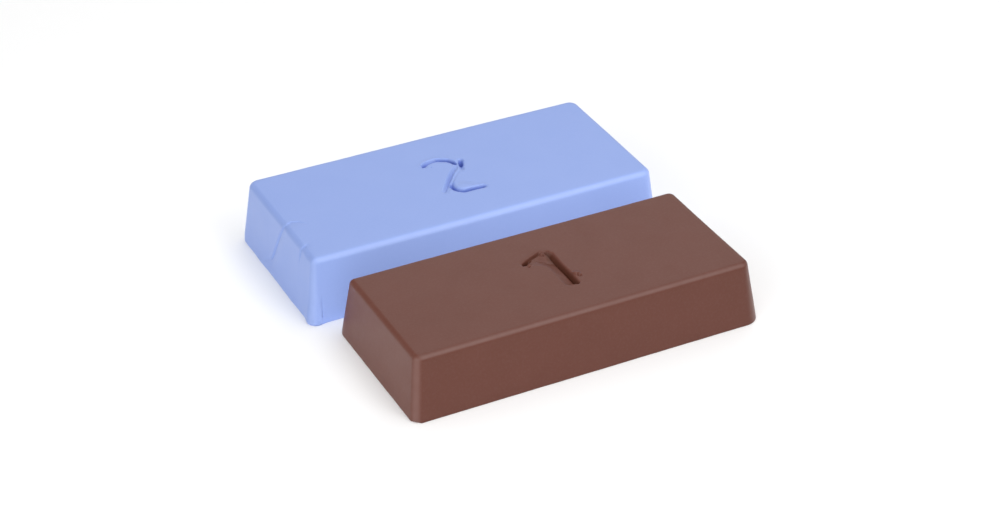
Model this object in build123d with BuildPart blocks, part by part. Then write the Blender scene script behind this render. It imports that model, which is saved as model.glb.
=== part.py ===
"""A matched pair of cast polishing compound bars, standing side by side.

Each bar is one solid casting of wax-bound abrasive: a low block that tapers from its base to its top,
with rounded upper edges and its grade numeral sunk into the top face. The brown bar is grade 1, the
coarse cut, and the blue bar is grade 2, the finer finish. The frame has +X along the bars, +Z up, and
its origin under the middle of the pair.
"""

import os

from build123d import *

# Driving dimensions, in millimetres
BROWN_BASE_LENGTH = 110.0
BROWN_BASE_WIDTH = 52.3
BROWN_TOP_LENGTH = 103.6
BROWN_TOP_WIDTH = 43.8
BROWN_HEIGHT = 18.5
BROWN_BASE_CORNER = 4.8
BROWN_TOP_CORNER = 2.2
BROWN_EDGE_RADIUS = 1.7

BLUE_BASE_LENGTH = 114.7
BLUE_BASE_WIDTH = 54.0
BLUE_TOP_LENGTH = 110.1
BLUE_TOP_WIDTH = 49.4
BLUE_HEIGHT = 20.6
BLUE_BASE_CORNER = 3.0
BLUE_TOP_CORNER = 3.0
BLUE_EDGE_RADIUS = 1.5

BAR_GAP = 3.2  # between the two bases
BLUE_SHIFT = -3.8  # how far the blue bar's middle lies along X from the brown bar's

# Numeral 1: a flat-bottomed stem with a flag, in the brown bar's top face
ONE_HEIGHT = 19.2
ONE_STEM_WIDTH = 4.9
ONE_STEM_LEAN = 0.4  # how far the stem's right side leans out towards its top
ONE_STEM_RIGHT = 4.5  # from the face's middle to the foot's right corner
ONE_SHOULDER = 1.9  # drop from the numeral's highest corner to the top of the stem's right side
ONE_FLAG_REACH = 10.2  # from the foot's right corner to the flag's tip
ONE_FLAG_DROP = 3.0  # from the numeral's highest corner down to the flag's tip
ONE_FLAG_THICKNESS = 3.4
ONE_THROAT_RADIUS = 1.8  # where the flag's underside runs into the stem
ONE_DEPTH = 1.8
ONE_WALL_TAPER = 25.0  # degrees

# Numeral 2: a narrow groove, in the blue bar's top face
TWO_STROKE_WIDTH = 1.9
TWO_DEPTH = 0.9
TWO_BOWL_START = (-4.8, 7.9)
TWO_BOWL_CROWN = (0.8, 9.2)
TWO_BOWL_END = (5.6, 5.2)
TWO_HEEL = (-3.7, -6.6)  # where the diagonal meets the base stroke
TWO_BASE_DIP = (-1.6, -9.8)
TWO_BASE_FLAT = (1.0, -10.7)
TWO_TAIL = (6.4, -10.4)

# Places worked out from the driving dimensions
blue_left = BLUE_SHIFT - BLUE_BASE_LENGTH / 2
brown_right = BROWN_BASE_LENGTH / 2
brown_x = -(blue_left + brown_right) / 2
blue_x = brown_x + BLUE_SHIFT
pair_depth = BROWN_BASE_WIDTH + BAR_GAP + BLUE_BASE_WIDTH
brown_y = (BROWN_BASE_WIDTH - pair_depth) / 2
blue_y = (pair_depth - BLUE_BASE_WIDTH) / 2

brown_floor = Plane(origin=(brown_x, brown_y, 0))
brown_top = brown_floor.offset(BROWN_HEIGHT)
blue_floor = Plane(origin=(blue_x, blue_y, 0))
blue_top = blue_floor.offset(BLUE_HEIGHT)

one_top = ONE_HEIGHT / 2
one_foot = -ONE_HEIGHT / 2
one_left = ONE_STEM_RIGHT - ONE_STEM_WIDTH
one_tip_x = ONE_STEM_RIGHT - ONE_FLAG_REACH
one_tip_y = one_top - ONE_FLAG_DROP
one_throat_y = one_tip_y - ONE_FLAG_THICKNESS


with BuildPart() as brown_bar:
    with BuildSketch(brown_floor):
        RectangleRounded(BROWN_BASE_LENGTH, BROWN_BASE_WIDTH, BROWN_BASE_CORNER)
    with BuildSketch(brown_top):
        RectangleRounded(BROWN_TOP_LENGTH, BROWN_TOP_WIDTH, BROWN_TOP_CORNER)
    loft(ruled=True)
    fillet(brown_bar.faces().sort_by(Axis.Z)[-1].edges(), BROWN_EDGE_RADIUS)

    # Numeral 1
    with BuildSketch(brown_top):
        with BuildLine():
            flag = Polyline(
                (one_left, one_foot),
                (ONE_STEM_RIGHT, one_foot),
                (ONE_STEM_RIGHT + ONE_STEM_LEAN, one_top - ONE_SHOULDER),
                (ONE_STEM_RIGHT - ONE_SHOULDER / 2, one_top),
                (one_tip_x, one_tip_y),
                (one_tip_x + ONE_FLAG_THICKNESS / 2, one_throat_y),
                (one_left - ONE_THROAT_RADIUS, one_throat_y),
            )
            throat = RadiusArc(flag @ 1, (one_left, one_throat_y - ONE_THROAT_RADIUS), ONE_THROAT_RADIUS)
            Line(throat @ 1, flag @ 0)
        make_face()
    extrude(amount=-ONE_DEPTH, taper=ONE_WALL_TAPER, mode=Mode.SUBTRACT)

with BuildPart() as blue_bar:
    with BuildSketch(blue_floor):
        RectangleRounded(BLUE_BASE_LENGTH, BLUE_BASE_WIDTH, BLUE_BASE_CORNER)
    with BuildSketch(blue_top):
        RectangleRounded(BLUE_TOP_LENGTH, BLUE_TOP_WIDTH, BLUE_TOP_CORNER)
    loft(ruled=True)
    fillet(blue_bar.faces().sort_by(Axis.Z)[-1].edges(), BLUE_EDGE_RADIUS)

    # Numeral 2
    with BuildSketch(blue_top):
        with BuildLine():
            ThreePointArc(TWO_BOWL_START, TWO_BOWL_CROWN, TWO_BOWL_END)
            Line(TWO_BOWL_END, TWO_HEEL)
            ThreePointArc(TWO_HEEL, TWO_BASE_DIP, TWO_BASE_FLAT)
            Line(TWO_BASE_FLAT, TWO_TAIL)
        trace(line_width=TWO_STROKE_WIDTH)
    extrude(amount=-TWO_DEPTH, mode=Mode.SUBTRACT)

brown_bar.part.label = "brown_bar"
blue_bar.part.label = "blue_bar"

os.makedirs("parts", exist_ok=True)
export_step(brown_bar.part, "parts/brown_bar.step")
export_step(blue_bar.part, "parts/blue_bar.step")

print("brown volume, cm3", round(brown_bar.part.volume / 1000, 2))
print("blue volume, cm3", round(blue_bar.part.volume / 1000, 2))
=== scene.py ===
"""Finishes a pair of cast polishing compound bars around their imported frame.

Run as a script, it registers its settings and operators, casts the two bars and sets the stage. Each bar
is modelled in millimetres about the middle of its own base, then scaled to metres and put where the frame
has it.
"""

import math

import bmesh
import bpy
from bpy.props import FloatProperty, FloatVectorProperty, PointerProperty
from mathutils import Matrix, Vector, noise


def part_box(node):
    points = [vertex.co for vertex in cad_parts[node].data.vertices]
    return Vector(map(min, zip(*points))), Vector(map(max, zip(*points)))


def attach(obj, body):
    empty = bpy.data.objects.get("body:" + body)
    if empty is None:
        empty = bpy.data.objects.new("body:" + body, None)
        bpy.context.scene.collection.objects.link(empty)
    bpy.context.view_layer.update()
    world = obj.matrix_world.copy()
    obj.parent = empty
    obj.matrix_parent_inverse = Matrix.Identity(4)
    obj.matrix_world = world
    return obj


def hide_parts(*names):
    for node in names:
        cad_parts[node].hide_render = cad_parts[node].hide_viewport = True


bl_info = {
    "name": "Polishing Compound Bars",
    "version": (1, 0, 0),
    "blender": (4, 5, 0),
    "location": "View3D > Sidebar > Compound Bars",
    "description": "Casts a brown and a blue polishing compound bar with sunken grade numerals",
    "category": "Object",
}

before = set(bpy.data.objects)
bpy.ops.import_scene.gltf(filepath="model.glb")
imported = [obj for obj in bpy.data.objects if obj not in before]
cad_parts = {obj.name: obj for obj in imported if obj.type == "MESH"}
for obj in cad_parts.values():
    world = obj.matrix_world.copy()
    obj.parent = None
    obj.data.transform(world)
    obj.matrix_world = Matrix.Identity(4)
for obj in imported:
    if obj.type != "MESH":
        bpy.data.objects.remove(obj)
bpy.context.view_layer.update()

MM = 0.001
CORNER_SEGMENTS = 10
EDGE_SEGMENTS = 8
RIM_SEGMENTS = 3
GRID_PITCH = 1.25
NUMERAL_CUTS = 9
LAP_CUTS = 4

# The bars' corners, as (is right, is back): front left, front right, back right and back left
CORNER_SIDES = ((False, False), (True, False), (True, True), (False, True))

# Half the width and half the height of the finely cut patch that holds each numeral
ONE_PATCH = (7.5, 11.5)
TWO_PATCH = (8.8, 12.6)
# How far a groove's soft shoulder reaches from its middle: the wide reach shapes the numeral 2, and the
# narrow one shapes the numeral 1 and says where both get painted shade in their grooves
NARROW_REACH = 1.6
WIDE_REACH = 2.0

# A wall of the numeral 1 that is wider than this is a long even slope
RAMP_WIDTH = 2.0
# The numeral 1's outline, in millimetres from the middle of the top face: each corner, and how wide the
# wall is from there to the next corner
ONE_OUTLINE = (
    (0.4, -9.2, 0.8),
    (4.3, -9.4, 0.6),
    (4.5, -5.0, 0.6),
    (4.7, -3.6, 0.7),
    (4.6, 1.9, 0.7),
    (4.9, 8.2, 0.9),
    (3.9, 8.8, 1.0),
    (3.4, 9.8, 0.4),
    (1.4, 9.8, 0.4),
    (-0.8, 9.0, 0.4),
    (-3.0, 8.3, 0.45),
    (-5.7, 6.9, 0.6),
    (-5.6, 5.6, 3.6),
    (-2.8, 3.8, 3.6),
    (-1.4, 3.3, 3.6),
    (-0.3, 2.2, 3.6),
    (0.1, -2.3, 3.6),
    (-0.2, -5.0, 3.6),
    (-0.1, -8.2, 3.6),
)
# The numeral 1's grooves, along the flag, down the right of the stem, at the flag's tip and down the stem's
# upper half: x, y and depth of each point, then the width of the groove's wall on the left and on the right
# of its way, and the height of the rim on its left
ONE_STROKES = (
    (
        (
            (-5.3, 6.2, 1.2),
            (-4.6, 6.7, 1.3),
            (-3.2, 7.5, 1.0),
            (-2.0, 8.1, 0.95),
            (-0.6, 8.7, 1.05),
            (1.1, 9.4, 0.95),
            (1.9, 9.7, 0.4),
        ),
        0.55,
        0.8,
        0.0,
    ),
    (
        (
            (3.3, 8.7, 1.2),
            (3.7, 7.6, 1.8),
            (3.65, 5.0, 1.95),
            (3.6, 1.9, 2.0),
            (3.65, -2.5, 2.1),
            (3.65, -6.0, 2.2),
            (3.6, -8.6, 1.9),
        ),
        1.1,
        0.9,
        0.0,
    ),
    (
        (
            (-5.2, 6.1, 2.3),
            (-4.4, 6.6, 2.4),
            (-3.4, 7.2, 1.7),
            (-2.4, 7.7, 0.6),
        ),
        0.7,
        1.1,
        0.0,
    ),
    (
        (
            (2.9, 7.4, 0.9),
            (3.0, 6.0, 1.3),
            (3.1, 4.0, 1.4),
            (3.4, 1.0, 0.9),
        ),
        1.0,
        1.1,
        0.0,
    ),
)
# Burrs and pits on the numeral 1: x, y, radius and height
ONE_BURRS = (
    (1.7, 8.6, 0.8, 0.6),
    (5.7, -4.6, 1.7, 0.45),
    (6.1, -5.8, 0.9, -0.5),
    (-3.9, 5.3, 0.8, 0.3),
    (-4.6, 4.2, 0.6, -0.35),
)

# The numeral 2's grooves, given the same way: the bowl, the deep spot at its right end, the two faint
# strokes of the diagonal and the base
TWO_STROKES = (
    (
        (
            (-4.9, 8.5, 1.5),
            (-3.8, 9.3, 1.0),
            (-1.8, 9.8, 0.7),
            (0.2, 9.9, 1.2),
            (1.4, 9.4, 2.0),
            (3.0, 8.5, 2.2),
            (4.0, 7.1, 1.9),
            (4.4, 5.8, 1.2),
            (4.5, 5.2, 0.3),
        ),
        0.75,
        1.05,
        0.18,
    ),
    (
        (
            (6.6, 6.6, 1.2),
            (6.1, 5.7, 2.8),
            (5.7, 4.6, 2.4),
            (5.4, 3.8, 0.8),
            (4.6, 1.4, 0.2),
        ),
        1.0,
        0.8,
        0.05,
    ),
    (
        (
            (4.0, 4.0, 0.35),
            (2.0, 2.0, 0.55),
            (0.3, 0.1, 0.65),
            (-1.4, -2.2, 0.7),
            (-3.1, -4.5, 0.7),
            (-5.6, -7.8, 0.4),
        ),
        0.85,
        1.1,
        0.06,
    ),
    (
        (
            (3.0, 0.7, 0.1),
            (-0.1, -2.5, 0.18),
            (-2.0, -4.6, 0.2),
            (-5.0, -8.5, 0.1),
        ),
        0.6,
        0.6,
        0.0,
    ),
    (
        (
            (-1.5, -4.2, 0.5),
            (-2.3, -5.9, 1.7),
            (-2.0, -7.6, 1.2),
            (-1.3, -8.8, 1.1),
            (-0.2, -9.6, 1.7),
            (2.2, -9.6, 2.0),
            (4.1, -9.7, 1.6),
            (6.2, -9.8, 1.6),
        ),
        0.75,
        1.05,
        0.18,
    ),
)
# Two swells above the base of the numeral 2 and a pit below its bowl: x, y, radius and height
TWO_SWELLS = (
    (0.8, -7.0, 2.8, 0.26),
    (3.4, -8.0, 2.2, 0.16),
    (-3.0, 6.8, 0.4, -0.25),
)

# The marks of the pour at the blue bar's left end, two cold laps over the top edge and a step at the foot:
# x, y, z, then the height of the ridge and the depth of the crease there
MAIN_LAP = (
    (-57.0, 7.6, 2.8, 0.0, 0.08),
    (-56.8, 3.8, 5.2, 0.0, 0.26),
    (-56.6, 2.9, 6.6, 0.0, 0.32),
    (-56.0, 0.3, 12.4, 0.0, 0.34),
    (-55.4, -1.9, 17.0, 0.02, 0.32),
    (-55.1, -3.2, 19.4, 0.08, 0.32),
    (-54.3, -3.6, 20.6, 0.14, 0.34),
    (-52.3, -2.8, 20.6, 0.14, 0.34),
    (-50.4, -3.6, 20.6, 0.08, 0.22),
    (-48.4, -6.0, 20.6, 0.0, 0.0),
)
CORNER_LAP = (
    (-55.6, -15.9, 15.2, 0.0, 0.06),
    (-55.2, -16.3, 19.2, 0.04, 0.32),
    (-53.9, -16.4, 20.6, 0.1, 0.34),
    (-52.3, -15.9, 20.6, 0.0, 0.0),
)
FOOT_STEP = (
    (-53.2, -26.0, 9.0, 0.0, 0.05),
    (-53.4, -26.2, 7.2, 0.0, 0.24),
    (-53.8, -26.7, 2.6, 0.0, 0.28),
    (-54.2, -26.9, 1.2, 0.0, 0.1),
)
# Each path, with how far the skin on one side of it is raised or sunk, as a share of the fold's depth
BLUE_FOLDS = ((MAIN_LAP, -0.7), (CORNER_LAP, -0.7), (FOOT_STEP, 0.8))
# The half width of the finely cut strip along each path
FOLD_STRIP = 2.0
# A dent and two bulges of the blue bar's skin: x, y, z, radius and height
BLUE_SPOTS = (
    (-55.0, -20.8, 20.5, 1.8, -0.3),
    (-54.4, -26.9, 1.6, 1.2, 0.25),
    (-57.0, -26.6, 1.8, 5.5, 0.75),
)

# Where in the noise field each bar's skin and foot rim are read
BROWN_SKIN_SEED = Vector((3.1, 0.7, 5.2))
BROWN_RIM_SEED = Vector((1.7, 2.9, 0.4))
BLUE_SKIN_SEED = Vector((8.3, 4.4, 1.9))
BLUE_RIM_SEED = Vector((5.2, 0.6, 3.3))

# The colour sockets of a mix node, whose names are the same for all its kinds of data
MIX_FIRST, MIX_SECOND, MIX_RESULT = 6, 7, 2

# Each softbox's azimuth and elevation in degrees, and its width, height and distance in metres
SOFTBOXES = {
    "front": (25.0, 42.0, 0.45, 0.45, 0.9),
    "left": (-60.0, 22.0, 0.9, 0.6, 0.9),
    "far_front": (25.0, 34.0, 0.45, 0.45, 0.9),
    "far_left": (-60.0, 22.0, 0.9, 0.6, 0.9),
    "far_near": (18.0, 12.0, 0.08, 0.03, 0.12),
    "floor": (0.0, 89.0, 0.9, 0.9, 0.9),
    "back": (145.0, 42.0, 0.8, 0.9, 0.9),
    "overhead": (60.0, 78.0, 0.7, 0.7, 0.9),
    "rim": (-117.0, 28.0, 0.46, 0.8, 0.9),
}
BROWN_PIECE, BLUE_PIECE, FLOOR = "brown_compound_bar", "blue_compound_bar", "floor"
# Softboxes that light only some objects: the softboxes, what they light and what shades them. The others
# light everything
LINKED_SOFTBOXES = (
    (("front", "left"), (BROWN_PIECE, FLOOR), (BROWN_PIECE, BLUE_PIECE, FLOOR)),
    (("far_front", "far_left", "far_near"), (BLUE_PIECE,), (BLUE_PIECE, FLOOR)),
    (("floor",), (FLOOR,), (FLOOR,)),
)
# Half the floor's span, in metres
FLOOR_HALF_SPAN = 2.0
# The point the camera looks at, in millimetres
CAMERA_AIM = Vector((5.44, 7.30, 0.0))


def length_setting(name, description, millimetres):
    """A length property whose default is given in millimetres."""
    return FloatProperty(
        name=name,
        description=description,
        default=millimetres * MM,
        min=0.0,
        precision=5,
        unit="LENGTH",
    )


def corner_settings(name, description, millimetres):
    """The radii of a bar's four corners, in the order of CORNER_SIDES, given in millimetres."""
    return FloatVectorProperty(
        name=name,
        description=description,
        default=[radius * MM for radius in millimetres],
        size=4,
        min=0.0,
        precision=5,
        unit="LENGTH",
    )


def colour_setting(name, description, colour):
    """A colour property, in linear values."""
    return FloatVectorProperty(
        name=name,
        description=description,
        default=colour,
        size=3,
        min=0.0,
        max=1.0,
        subtype="COLOR",
    )


def power_setting(name, description, watts):
    """The power of a light."""
    return FloatProperty(name=name, description=description, default=watts, min=0.0, unit="POWER")


def angle_setting(name, description, degrees):
    """An angle property whose default is given in degrees."""
    return FloatProperty(
        name=name, description=description, default=math.radians(degrees), subtype="ANGLE"
    )


def frame_size(node):
    """A frame node's length, width and height in millimetres."""
    low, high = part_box(node)
    return (high - low) / MM


BROWN_SIZE = frame_size("brown_bar")
BLUE_SIZE = frame_size("blue_bar")


class BrownBarSettings(bpy.types.PropertyGroup):
    """Sizes and colours of the brown bar."""

    base_length: length_setting("Base length", "Length at the foot", BROWN_SIZE.x)
    base_width: length_setting("Base width", "Width at the foot", BROWN_SIZE.y)
    height: length_setting("Height", "From the foot to the top face", BROWN_SIZE.z)
    top_length: length_setting("Top length", "Length of the top face", 104.4)
    top_width: length_setting("Top width", "Width of the top face", 43.8)
    base_corners: corner_settings("Base corners", "Corner radii at the foot", (2.8, 5.2, 3.0, 5.2))
    top_corners: corner_settings("Top corners", "Corner radii at the top", (2.4, 2.6, 2.0, 1.4))
    edge_radius: length_setting("Edge radius", "Rounding of the upper edges", 1.8)
    colour: colour_setting("Colour", "Colour of the compound", (0.150, 0.0525, 0.037))
    # The pale colour gives the specks, and edges that are part wear and part painted highlight
    pale_and_highlight: colour_setting("Pale colour", "Colour of rubbed edges", (0.20, 0.098, 0.082))
    deep: colour_setting("Deep colour", "Colour of the darker mottling", (0.138, 0.047, 0.032))
    # The sunk colour is painted shade that darkens the numeral's grooves
    sunk: colour_setting("Sunk colour", "Colour in the numeral's grooves", (0.115, 0.038, 0.023))


class BlueBarSettings(bpy.types.PropertyGroup):
    """Sizes and colours of the blue bar."""

    base_length: length_setting("Base length", "Length at the foot", BLUE_SIZE.x)
    base_width: length_setting("Base width", "Width at the foot", BLUE_SIZE.y)
    height: length_setting("Height", "From the foot to the top face", BLUE_SIZE.z)
    top_length: length_setting("Top length", "Length of the top face", 110.1)
    top_width: length_setting("Top width", "Width of the top face", 49.4)
    base_corners: corner_settings("Base corners", "Corner radii at the foot", (2.8, 3.0, 3.0, 3.2))
    top_corners: corner_settings("Top corners", "Corner radii at the top", (1.7, 3.0, 3.0, 3.0))
    edge_radius: length_setting("Edge radius", "Rounding of the upper edges", 1.7)
    colour: colour_setting("Colour", "Colour of the compound", (0.302, 0.412, 0.802))
    # The pale colour gives the specks, and edges that are part wear and part painted highlight
    pale_and_highlight: colour_setting("Pale colour", "Colour of rubbed edges", (0.345, 0.458, 0.85))
    deep: colour_setting("Deep colour", "Colour of the darker mottling", (0.288, 0.398, 0.790))
    # The sunk colour is painted shade that darkens the numeral's grooves
    sunk: colour_setting("Sunk colour", "Colour in the numeral's grooves", (0.165, 0.24, 0.65))


class StageSettings(bpy.types.PropertyGroup):
    """The floor, the softboxes and the camera."""

    floor_colour: colour_setting("Floor colour", "Colour of the floor", (0.96, 0.96, 0.96))
    ambient: FloatProperty(name="Ambient", description="Light from all round", default=0.28, min=0.0)
    front_power: power_setting("Front", "Softbox at the front right, for the near bar", 1.75)
    left_power: power_setting("Left", "Softbox at the front left, for the near bar", 3.6)
    far_front_power: power_setting("Far front", "Softbox at the front right, for the far bar", 2.5)
    far_left_power: power_setting("Far left", "Softbox at the front left, for the far bar", 2.7)
    far_near_power: power_setting("Far near", "Small lamp low in front, for the far bar", 0.060)
    floor_power: power_setting("Floor", "Softbox overhead, for the floor", 1.4)
    back_power: power_setting("Back", "Softbox behind the right end", 1.8)
    overhead_power: power_setting("Overhead", "Softbox overhead", 3.1)
    rim_power: power_setting("Rim", "Softbox behind the left end", 0.6)
    lens: FloatProperty(name="Lens", description="Focal length", default=84.67, min=1.0, unit="CAMERA")
    azimuth: angle_setting("Azimuth", "Camera's turn about the pair", -26.98)
    elevation: angle_setting("Elevation", "Camera's height above the horizon", 32.84)
    distance: length_setting("Distance", "From the camera to the point it looks at", 697.3)


class BarSize:
    """A bar's sizes in millimetres, read from its settings. Corner radii go by the corner's sides."""

    def __init__(self, settings):
        self.base_length = settings.base_length / MM
        self.base_width = settings.base_width / MM
        self.height = settings.height / MM
        self.top_length = settings.top_length / MM
        self.top_width = settings.top_width / MM
        self.base_corner = dict(zip(CORNER_SIDES, [radius / MM for radius in settings.base_corners]))
        self.top_corner = dict(zip(CORNER_SIDES, [radius / MM for radius in settings.top_corners]))
        self.edge_radius = settings.edge_radius / MM


def smooth_step(value):
    """0 below 0, 1 above 1, and an even S between them."""
    value = min(max(value, 0.0), 1.0)
    return value * value * (3.0 - 2.0 * value)


def blend(low, high, share):
    """The value that lies that share of the way from low to high."""
    return low + (high - low) * share


def bell(distance, width):
    """1 at no distance, falling smoothly to 0 at the given width."""
    share = min(distance / width, 1.0)
    return (1.0 - share * share) ** 2


def beside_segment(x, y, start, end):
    """(distance, share of the way along, True if left of the way) of a point beside a segment."""
    run_x, run_y = end[0] - start[0], end[1] - start[1]
    from_x, from_y = x - start[0], y - start[1]
    share = (from_x * run_x + from_y * run_y) / (run_x * run_x + run_y * run_y)
    share = min(max(share, 0.0), 1.0)
    distance = math.hypot(from_x - share * run_x, from_y - share * run_y)
    return distance, share, run_x * from_y - run_y * from_x > 0


def is_inside(x, y, outline):
    """True if the point lies within the closed outline."""
    inside = False
    for start, end in zip(outline, outline[1:] + outline[:1]):
        if (start[1] > y) != (end[1] > y):
            crossing = start[0] + (y - start[1]) / (end[1] - start[1]) * (end[0] - start[0])
            if x < crossing:
                inside = not inside
    return inside


def groove_depth(x, y, stroke, reach):
    """How deep one stroke's groove is at a point, with a soft shoulder out to its reach."""
    shoulder = 0.12
    rim_distance, rim_width = 1.1, 0.7
    points, left_wall, right_wall, rim = stroke
    depth = 0.0
    nearest = (reach, False)
    for start, end in zip(points, points[1:]):
        distance, share, on_left = beside_segment(x, y, start, end)
        if distance > reach:
            continue
        nearest = min(nearest, (distance, on_left))
        full = blend(start[2], end[2], share)
        wall = left_wall if on_left else right_wall
        cut = (1.0 - shoulder) * bell(distance, wall) + shoulder * bell(distance, reach)
        depth = max(depth, full * cut)
    if nearest[1]:
        depth -= rim * bell(abs(nearest[0] - rim_distance), rim_width)
    return depth


def lift(x, y, spots):
    """How far the spots (x, y, radius, height) raise a point."""
    raised = 0.0
    for spot_x, spot_y, radius, height in spots:
        raised += height * bell(math.hypot(x - spot_x, y - spot_y), radius)
    return raised


def stroke_depth(x, y, strokes):
    """How deep the deepest of a numeral's grooves is at a point, with narrow shoulders."""
    return max(groove_depth(x, y, stroke, NARROW_REACH) for stroke in strokes)


def one_depth(x, y):
    """How deep the numeral 1 is sunk at a point of the top face, in millimetres."""
    lip_width, lip_share, lip_end = 0.25, 0.1, 4.0
    stem_left, stem_left_fade = -2.5, 4.5
    stem_top, stem_top_fade = 9.3, 3.5
    flag_floor, stem_floor = 0.5, 1.3
    inside = is_inside(x, y, ONE_OUTLINE)
    wall_share = ramp_share = math.inf
    for start, end in zip(ONE_OUTLINE, ONE_OUTLINE[1:] + ONE_OUTLINE[:1]):
        distance = beside_segment(x, y, start, end)[0]
        if start[2] > RAMP_WIDTH:
            ramp_share = min(ramp_share, distance / start[2])
        else:
            wall_share = min(wall_share, distance / (start[2] if inside else lip_width))
    in_stem = smooth_step((x - stem_left) / stem_left_fade) * smooth_step((stem_top - y) / stem_top_fade)
    floor = blend(flag_floor, stem_floor, in_stem)
    if inside:
        depth = floor * blend(lip_share, 1.0, smooth_step(wall_share)) * min(ramp_share, 1.0)
    else:
        depth = floor * lip_share * (1.0 - smooth_step(wall_share))
        depth *= smooth_step(ramp_share * lip_end)
    return max(depth, stroke_depth(x, y, ONE_STROKES)) - lift(x, y, ONE_BURRS)


def two_depth(x, y):
    """How deep the numeral 2 is sunk at a point of the top face, in millimetres, or raised as a rim."""
    least_depth = 0.05
    depths = [groove_depth(x, y, stroke, WIDE_REACH) for stroke in TWO_STROKES]
    deepest, raised = max(depths), min(depths)
    return (deepest if deepest > least_depth else raised) - lift(x, y, TWO_SWELLS)


def in_patch(place, height, patch):
    """True if a place lies above the height, and within the patch about the middle of the top."""
    return place.z > height and abs(place.x) < patch[0] and abs(place.y) < patch[1]


def sink_numeral(bm, size, patch, depth_at, strokes):
    """Sinks a numeral into the top face, and stores the painted shade of its grooves."""
    margin, top_band = 0.5, 0.5
    dark_from, dark_over = 0.15, 0.9
    wider_patch = (patch[0] + margin, patch[1] + margin)
    layer = bm.verts.layers.float.new("sunk")
    for vert in bm.verts:
        if in_patch(vert.co, size.height - top_band, wider_patch):
            x, y = vert.co.x, vert.co.y
            vert.co.z -= depth_at(x, y)
            # The sunk mask: how much painted shade a vertex gets, by how deep in a groove it lies
            vert[layer] = smooth_step((stroke_depth(x, y, strokes) - dark_from) / dark_over)


def start_block(bm, size):
    """A tapered block with its own radius at each corner. Returns its top face."""
    made = bmesh.ops.create_grid(bm, x_segments=1, y_segments=1, size=0.5)
    bmesh.ops.scale(bm, vec=(size.base_length, size.base_width, 1.0), verts=made["verts"])
    for corner in list(made["verts"]):
        bmesh.ops.bevel(
            bm,
            geom=[corner],
            offset=size.base_corner[(corner.co.x > 0, corner.co.y > 0)],
            offset_type="OFFSET",
            segments=CORNER_SEGMENTS,
            profile=0.5,
            affect="VERTICES",
            material=-1,
        )
    raised = bmesh.ops.extrude_face_region(bm, geom=bm.faces[:], use_keep_orig=True)["geom"]
    spans = ((size.base_length, size.top_length), (size.base_width, size.top_width))
    for vert in (item for item in raised if isinstance(item, bmesh.types.BMVert)):
        side = (vert.co.x > 0, vert.co.y > 0)
        low_radius, high_radius = size.base_corner[side], size.top_corner[side]
        for axis, (base, top) in enumerate(spans):
            sign = math.copysign(1.0, vert.co[axis])
            from_centre = vert.co[axis] - sign * (base / 2 - low_radius)
            vert.co[axis] = sign * (top / 2 - high_radius) + from_centre * high_radius / low_radius
        vert.co.z = size.height
    bmesh.ops.recalc_face_normals(bm, faces=bm.faces[:])
    return max(bm.faces, key=lambda face: face.calc_center_median().z)


def round_edges(bm, top_face, size):
    """Rounds the upper edges, and breaks the sharp rim at the foot."""
    rim_break = 0.3
    top_edges = list(top_face.edges)
    foot_edges = [edge for edge in bm.edges if all(vert.co.z < rim_break for vert in edge.verts)]
    rounds = ((top_edges, size.edge_radius, EDGE_SEGMENTS), (foot_edges, rim_break, RIM_SEGMENTS))
    for edges, radius, segments in rounds:
        bmesh.ops.bevel(
            bm,
            geom=edges,
            offset=radius,
            offset_type="OFFSET",
            segments=segments,
            profile=0.5,
            affect="EDGES",
            clamp_overlap=True,
            material=-1,
        )


def cut_evenly(bm, size):
    """Cuts the block into small faces along all three axes, and merges the slivers that leaves."""
    plane_tolerance, sliver = 1e-5, 0.04
    spans = (
        (Vector((1, 0, 0)), -size.base_length / 2, size.base_length),
        (Vector((0, 1, 0)), -size.base_width / 2, size.base_width),
        (Vector((0, 0, 1)), 0.0, size.height),
    )
    for axis, start, span in spans:
        count = round(span / GRID_PITCH)
        for step in range(1, count):
            bmesh.ops.bisect_plane(
                bm,
                geom=bm.verts[:] + bm.edges[:] + bm.faces[:],
                dist=plane_tolerance,
                plane_co=axis * (start + span * step / count),
                plane_no=axis,
            )
    bmesh.ops.remove_doubles(bm, verts=bm.verts[:], dist=sliver)


def refine(bm, is_wanted, cuts):
    """Divides the faces whose middle is wanted into a finer grid."""
    faces = [face for face in bm.faces if is_wanted(face.calc_center_median())]
    edges = {edge for face in faces for edge in face.edges}
    bmesh.ops.subdivide_edges(bm, edges=list(edges), cuts=cuts, use_grid_fill=True)


def refine_patch(bm, size, patch):
    """Divides the part of the top face that holds the numeral into a finer grid."""
    tolerance = 0.01
    refine(bm, lambda middle: in_patch(middle, size.height - tolerance, patch), NUMERAL_CUTS)


def near_path(place, path):
    """(distance, share of the way, start, end) of the path's segment that is nearest to a place."""
    best = None
    for start, end in zip(path, path[1:]):
        first, run = Vector(start[:3]), Vector(end[:3]) - Vector(start[:3])
        share = min(max((place - first).dot(run) / run.length_squared, 0.0), 1.0)
        distance = (place - first - run * share).length
        if best is None or distance < best[0]:
            best = (distance, share, start, end)
    return best


def beside_folds(place):
    """True if a place is close to one of the blue bar's folds."""
    return any(near_path(place, path)[0] < FOLD_STRIP for path, step in BLUE_FOLDS)


def outwards(vert):
    """A vertex's normal, kept from pointing down so that no move takes the foot lower."""
    return Vector((vert.normal.x, vert.normal.y, max(vert.normal.z, 0.0)))


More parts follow.
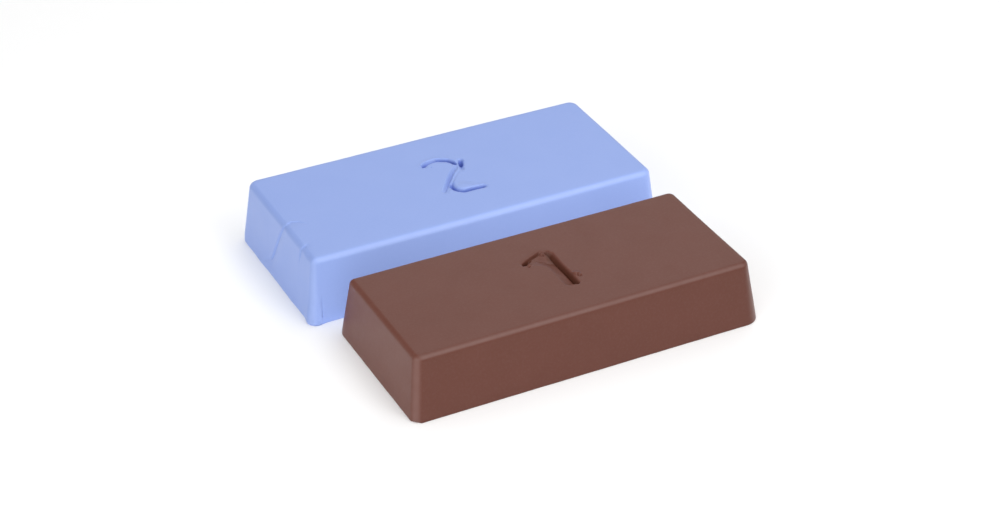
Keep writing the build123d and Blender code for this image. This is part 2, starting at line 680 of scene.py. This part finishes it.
def fold_skin(bm, path, step):
    """Raises a ridge and sinks a crease along a path, with the skin on one side of it a step higher."""
    ridge_width, crease_width, step_width = 0.85, 0.55, 3.0
    bm.normal_update()
    moves = []
    for vert in bm.verts:
        distance, share, start, end = near_path(vert.co, path)
        if distance > step_width:
            continue
        ridge, crease = blend(start[3], end[3], share), blend(start[4], end[4], share)
        run = Vector(end[:3]) - Vector(start[:3])
        offset = vert.co - Vector(start[:3]) - run * share
        side = run.cross(vert.normal).dot(offset)
        height = ridge * bell(distance, ridge_width) - crease * bell(distance, crease_width)
        if side > 0:
            height += step * max(ridge, crease) * bell(distance, step_width)
        moves.append((vert, outwards(vert) * height))
    for vert, move in moves:
        vert.co += move


def press_spots(bm, spots):
    """Raises or sinks round spots of the skin: (x, y, z, radius, height)."""
    bm.normal_update()
    moves = []
    for vert in bm.verts:
        height = 0.0
        for x, y, z, radius, rise in spots:
            height += rise * bell((vert.co - Vector((x, y, z))).length, radius)
        if height:
            moves.append((vert, outwards(vert) * height))
    for vert, move in moves:
        vert.co += move


def settle_skin(bm, size, seed):
    """The gentle unevenness of a casting's faces, and the shrinkage dish in its open underside."""
    broad_scale, broad_height = 0.022, 0.09
    fine_scale, fine_height = 0.11, 0.03
    shrinkage = 0.05
    underside, foot_height = -0.9, 0.2
    dish_depth, end_slope, side_slope = 0.6, 2.5, 1.8
    dish_scale, dish_unevenness = 0.09, 0.6
    bm.normal_update()
    moves = []
    for vert in bm.verts:
        place = vert.co
        swell = broad_height * noise.noise(place * broad_scale + seed)
        swell += fine_height * noise.noise(place * fine_scale + seed)
        move = vert.normal * (swell - shrinkage)
        if vert.normal.z < underside:
            along = 1.0 - (2.0 * place.x / size.base_length) ** 2
            across = 1.0 - (2.0 * place.y / size.base_width) ** 2
            dish = dish_depth * smooth_step(end_slope * along) * smooth_step(side_slope * across)
            dish *= 1.0 + dish_unevenness * noise.noise(place * dish_scale + seed)
            move = Vector((0, 0, dish))
        if place.z < foot_height and move.z < 0.0:
            move.z = 0.0
        moves.append((vert, move))
    for vert, move in moves:
        vert.co += move


def trim_foot(bm, size, cut, reach):
    """Cuts the front left corner of the foot off, at a slant that runs out at the height of the reach."""
    for vert in bm.verts:
        if vert.co.z > reach:
            continue
        limit = (size.base_length + size.base_width) / 2 - cut * (1.0 - vert.co.z / reach)
        excess = -vert.co.x - vert.co.y - limit
        if excess > 0.0:
            vert.co.x += excess / 2
            vert.co.y += excess / 2


def wander_rim(bm, seed, depth):
    """Lets the rim at the foot wander inwards by up to the given depth."""
    rim_height = 2.2
    broad_scale, broad_share = 0.16, 0.5
    fine_scale, fine_share = 0.5, 0.35
    for vert in bm.verts:
        if vert.co.z > rim_height:
            continue
        outward = Vector((vert.normal.x, vert.normal.y, 0.0))
        wander = 0.5 + broad_share * noise.noise(vert.co * broad_scale + seed)
        wander += fine_share * noise.noise(vert.co * fine_scale + seed)
        fade = smooth_step(1.0 - vert.co.z / rim_height)
        vert.co -= outward * depth * min(max(wander, 0.0), 1.0) * fade


def mark_worn_and_highlit(bm):
    """Stores wear and painted highlight on the long top edges and the upright corners of a bar."""
    edge_from, edge_over = 0.3, 0.35
    corner_from, corner_over = 0.15, 0.45
    layer = bm.verts.layers.float.new("rubbed")
    bm.normal_update()
    for vert in bm.verts:
        across, along, up = abs(vert.normal.y), abs(vert.normal.x), max(vert.normal.z, 0.0)
        long_edge = smooth_step((min(across, up) - edge_from) / edge_over)
        corner = smooth_step((min(across, along) - corner_from) / corner_over)
        vert[layer] = max(long_edge, corner)


def finish_bar(bm, name, node, material):
    """Scales the bar to metres, puts it in its place in the frame and hands it to its body."""
    low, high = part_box(node)
    middle = (low + high) / 2
    bmesh.ops.triangulate(bm, faces=[face for face in bm.faces if len(face.verts) > 4])
    bmesh.ops.scale(bm, vec=(MM, MM, MM), verts=bm.verts[:])
    bmesh.ops.translate(bm, vec=(middle.x, middle.y, low.z), verts=bm.verts[:])
    for face in bm.faces:
        face.smooth = True
    mesh = bpy.data.meshes.new(name)
    bm.to_mesh(mesh)
    bm.free()
    piece = bpy.data.objects.new(name, mesh)
    bpy.context.scene.collection.objects.link(piece)
    mesh.materials.append(material)
    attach(piece, node)
    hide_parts(node)


def add_node(tree, kind, values=None, **options):
    """Adds a shader node, with its options and its unlinked input values."""
    made = tree.nodes.new(kind)
    for option, value in options.items():
        setattr(made, option, value)
    for name, value in (values or {}).items():
        made.inputs[name].default_value = value
    return made


def add_noise(tree, coordinates, scale, detail=3.0, roughness=0.5):
    """A noise field on Object coordinates, in features per metre. Returns its output."""
    values = {"Scale": scale, "Detail": detail, "Roughness": roughness}
    made = add_node(tree, "ShaderNodeTexNoise", values)
    tree.links.new(coordinates, made.inputs["Vector"])
    return made.outputs["Fac"]


def add_range(tree, source, low, high, from_low=0.3, from_high=0.7):
    """Maps a field's middle range to another one. Returns its output."""
    values = {"From Min": from_low, "From Max": from_high, "To Min": low, "To Max": high}
    made = add_node(tree, "ShaderNodeMapRange", values, clamp=True)
    tree.links.new(source, made.inputs["Value"])
    return made.outputs["Result"]


def add_mix(tree, factor, first, second):
    """Mixes two colours, each a socket or a colour. Returns its output."""
    made = add_node(tree, "ShaderNodeMix", data_type="RGBA")
    tree.links.new(factor, made.inputs["Factor"])
    for socket, colour in ((made.inputs[MIX_FIRST], first), (made.inputs[MIX_SECOND], second)):
        if isinstance(colour, bpy.types.NodeSocket):
            tree.links.new(colour, socket)
        else:
            socket.default_value = (*colour, 1.0)
    return made.outputs[MIX_RESULT]


def add_bump(tree, height, distance, strength, under=None):
    """A bump of the given height in metres, over another one if there is one. Returns its output."""
    made = add_node(tree, "ShaderNodeBump", {"Distance": distance, "Strength": strength})
    tree.links.new(height, made.inputs["Height"])
    if under is not None:
        tree.links.new(under, made.inputs["Normal"])
    return made.outputs["Normal"]


def compound_material(name, settings):
    """Wax-bound abrasive as cast: faint mottling, a fine satin grain, pale edges that are part wear and
    part painted highlight, and painted shade in the grooves.
    """
    cloud_scale, patch_scale, speck_scale, smear_scale = 90.0, 260.0, 1400.0, 160.0
    dimple_scale, dimple_height = 420.0, 0.00006
    grain_scale, grain_height = 3200.0, 0.00002
    bump_strength = 0.3
    material = bpy.data.materials.new(name)
    material.use_nodes = True
    tree = material.node_tree
    shader = tree.nodes["Principled BSDF"]
    coordinates = add_node(tree, "ShaderNodeTexCoord").outputs["Object"]
    # The edge mask: part wear, part painted highlight on the long top edges and upright corners
    rubbed = add_node(tree, "ShaderNodeAttribute", attribute_name="rubbed").outputs["Fac"]
    # The sunk mask, which says where the grooves get painted shade
    sunk = add_node(tree, "ShaderNodeAttribute", attribute_name="sunk").outputs["Fac"]

    cloud_field = add_noise(tree, coordinates, cloud_scale)
    clouds = add_range(tree, cloud_field, low=0.0, high=0.6)
    speck_field = add_noise(tree, coordinates, speck_scale, detail=2.0)
    specks = add_range(tree, speck_field, low=0.0, high=0.14, from_low=0.45, from_high=0.75)
    patch_field = add_noise(tree, coordinates, patch_scale)
    patches = add_range(tree, patch_field, low=0.75, high=1.0)
    # Pale edges, partly wear and partly a painted highlight, broken up by patches
    wear_and_highlight = add_node(tree, "ShaderNodeMath", operation="MULTIPLY")
    tree.links.new(rubbed, wear_and_highlight.inputs[0])
    tree.links.new(patches, wear_and_highlight.inputs[1])
    mottled = add_mix(tree, clouds, settings.colour, settings.deep)
    specked = add_mix(tree, specks, mottled, settings.pale_and_highlight)
    worn_and_highlit_colour = add_mix(tree, wear_and_highlight.outputs[0], specked, settings.pale_and_highlight)
    # Painted shade: the sunk colour darkens the grooves
    tree.links.new(add_mix(tree, sunk, worn_and_highlit_colour, settings.sunk), shader.inputs["Base Color"])

    smear_field = add_noise(tree, coordinates, smear_scale)
    smears = add_range(tree, smear_field, low=0.30, high=0.38)
    tree.links.new(smears, shader.inputs["Roughness"])
    dimple_field = add_noise(tree, coordinates, dimple_scale, detail=4.0)
    dimples = add_bump(tree, dimple_field, dimple_height, bump_strength)
    grain_field = add_noise(tree, coordinates, grain_scale, detail=2.0)
    grain = add_bump(tree, grain_field, grain_height, bump_strength, dimples)
    tree.links.new(grain, shader.inputs["Normal"])
    shader.inputs["IOR"].default_value = 1.33
    return material


class COMPOUND_OT_brown_bar(bpy.types.Operator):
    """Cast the brown bar, with the numeral 1 sunk into its top"""

    bl_idname = "compound.brown_bar"
    bl_label = "Brown Bar"

    def execute(self, context):
        settings = context.scene.brown_bar
        size = BarSize(settings)
        bm = bmesh.new()
        top_face = start_block(bm, size)
        round_edges(bm, top_face, size)
        cut_evenly(bm, size)
        refine_patch(bm, size, ONE_PATCH)
        settle_skin(bm, size, BROWN_SKIN_SEED)
        mark_worn_and_highlit(bm)
        wander_rim(bm, BROWN_RIM_SEED, depth=0.12)
        trim_foot(bm, size, cut=2.7, reach=3.0)
        sink_numeral(bm, size, ONE_PATCH, one_depth, ONE_STROKES)
        material = compound_material("Brown compound", settings)
        finish_bar(bm, BROWN_PIECE, "brown_bar", material)
        return {"FINISHED"}


class COMPOUND_OT_blue_bar(bpy.types.Operator):
    """Cast the blue bar, with the numeral 2 sunk into its top and cold laps at its left end"""

    bl_idname = "compound.blue_bar"
    bl_label = "Blue Bar"

    def execute(self, context):
        settings = context.scene.blue_bar
        size = BarSize(settings)
        bm = bmesh.new()
        top_face = start_block(bm, size)
        round_edges(bm, top_face, size)
        cut_evenly(bm, size)
        refine_patch(bm, size, TWO_PATCH)
        refine(bm, beside_folds, LAP_CUTS)
        settle_skin(bm, size, BLUE_SKIN_SEED)
        mark_worn_and_highlit(bm)
        wander_rim(bm, BLUE_RIM_SEED, depth=0.3)
        for path, step in BLUE_FOLDS:
            fold_skin(bm, path, step)
        press_spots(bm, BLUE_SPOTS)
        sink_numeral(bm, size, TWO_PATCH, two_depth, TWO_STROKES)
        material = compound_material("Blue compound", settings)
        finish_bar(bm, BLUE_PIECE, "blue_bar", material)
        return {"FINISHED"}


def towards(azimuth, elevation):
    """The unit direction from the pair to that azimuth and elevation. Azimuth 0 is in front."""
    level = math.cos(elevation)
    return Vector((math.sin(azimuth) * level, -math.cos(azimuth) * level, math.sin(elevation)))


def add_softbox(name, watts):
    """A rectangular light that faces the pair, at its place in the table of softboxes."""
    azimuth, elevation, width, height, distance = SOFTBOXES[name]
    direction = towards(math.radians(azimuth), math.radians(elevation))
    light = bpy.data.lights.new(name, "AREA")
    light.shape = "RECTANGLE"
    light.size = width
    light.size_y = height
    light.energy = watts
    lamp = bpy.data.objects.new(f"{name}_softbox", light)
    lamp.location = direction * distance
    lamp.visible_camera = False
    lamp.rotation_euler = direction.to_track_quat("Z", "Y").to_euler()
    bpy.context.scene.collection.objects.link(lamp)


def group_objects(name, members):
    """A collection of the named objects."""
    group = bpy.data.collections.new(name)
    for member in members:
        group.objects.link(bpy.data.objects[member])
    return group


def light_only(names, lit, shading):
    """Lets the named softboxes light only some objects, with shadows from only some objects."""
    receivers = group_objects(f"{names[0]}_lit", lit)
    blockers = group_objects(f"{names[0]}_shading", shading)
    for name in names:
        linking = bpy.data.objects[f"{name}_softbox"].light_linking
        linking.receiver_collection = receivers
        linking.blocker_collection = blockers


def add_floor(colour):
    """A plain pale floor."""
    bm = bmesh.new()
    bmesh.ops.create_grid(bm, x_segments=1, y_segments=1, size=FLOOR_HALF_SPAN)
    mesh = bpy.data.meshes.new(FLOOR)
    bm.to_mesh(mesh)
    bm.free()
    floor = bpy.data.objects.new(FLOOR, mesh)
    bpy.context.scene.collection.objects.link(floor)
    paint = bpy.data.materials.new("Floor")
    paint.use_nodes = True
    shader = paint.node_tree.nodes["Principled BSDF"]
    shader.inputs["Base Color"].default_value = (*colour, 1.0)
    shader.inputs["Roughness"].default_value = 0.9
    mesh.materials.append(paint)


def add_camera(settings):
    """The camera, above the pair's front left."""
    lens = bpy.data.cameras.new("camera")
    lens.lens = settings.lens
    lens.clip_start = 0.05
    lens.clip_end = 20.0
    camera = bpy.data.objects.new("camera", lens)
    direction = towards(settings.azimuth, settings.elevation)
    camera.location = CAMERA_AIM * MM + direction * settings.distance
    camera.rotation_euler = direction.to_track_quat("Z", "Y").to_euler()
    bpy.context.scene.collection.objects.link(camera)
    bpy.context.scene.camera = camera


class COMPOUND_OT_stage(bpy.types.Operator):
    """Lay the floor, and set the lights and the camera"""

    bl_idname = "compound.stage"
    bl_label = "Stage"

    @classmethod
    def poll(cls, context):
        return BROWN_PIECE in bpy.data.objects and BLUE_PIECE in bpy.data.objects

    def execute(self, context):
        scene = context.scene
        settings = scene.compound_stage
        add_floor(settings.floor_colour)
        for name in SOFTBOXES:
            add_softbox(name, watts=getattr(settings, f"{name}_power"))
        for names, lit, shading in LINKED_SOFTBOXES:
            light_only(names, lit, shading)
        world = bpy.data.worlds.new("Studio")
        world.use_nodes = True
        background = world.node_tree.nodes["Background"]
        background.inputs["Color"].default_value = (1.0, 1.0, 1.0, 1.0)
        background.inputs["Strength"].default_value = settings.ambient
        scene.world = world
        scene.view_settings.view_transform = "Standard"
        add_camera(settings)
        return {"FINISHED"}


SECTIONS = (
    ("brown_bar", BrownBarSettings, COMPOUND_OT_brown_bar),
    ("blue_bar", BlueBarSettings, COMPOUND_OT_blue_bar),
    ("compound_stage", StageSettings, COMPOUND_OT_stage),
)


class COMPOUND_PT_bars(bpy.types.Panel):
    """The settings of the bars and the stage, each with the button that builds it."""

    bl_label = "Compound Bars"
    bl_idname = "COMPOUND_PT_bars"
    bl_space_type = "VIEW_3D"
    bl_region_type = "UI"
    bl_category = "Compound Bars"

    def draw(self, context):
        for name, group, operator in SECTIONS:
            box = self.layout.box()
            for setting in group.__annotations__:
                box.prop(getattr(context.scene, name), setting)
            box.operator(operator.bl_idname)


def register():
    """Registers the settings, the operators and the panel."""
    for name, group, operator in SECTIONS:
        bpy.utils.register_class(group)
        bpy.utils.register_class(operator)
        setattr(bpy.types.Scene, name, PointerProperty(type=group))
    bpy.utils.register_class(COMPOUND_PT_bars)


def unregister():
    """Removes what register added."""
    bpy.utils.unregister_class(COMPOUND_PT_bars)
    for name, group, operator in reversed(SECTIONS):
        delattr(bpy.types.Scene, name)
        bpy.utils.unregister_class(operator)
        bpy.utils.unregister_class(group)


def main():
    """Builds everything."""
    register()
    bpy.ops.compound.brown_bar()
    bpy.ops.compound.blue_bar()
    bpy.ops.compound.stage()


if __name__ == "__main__":
    main()
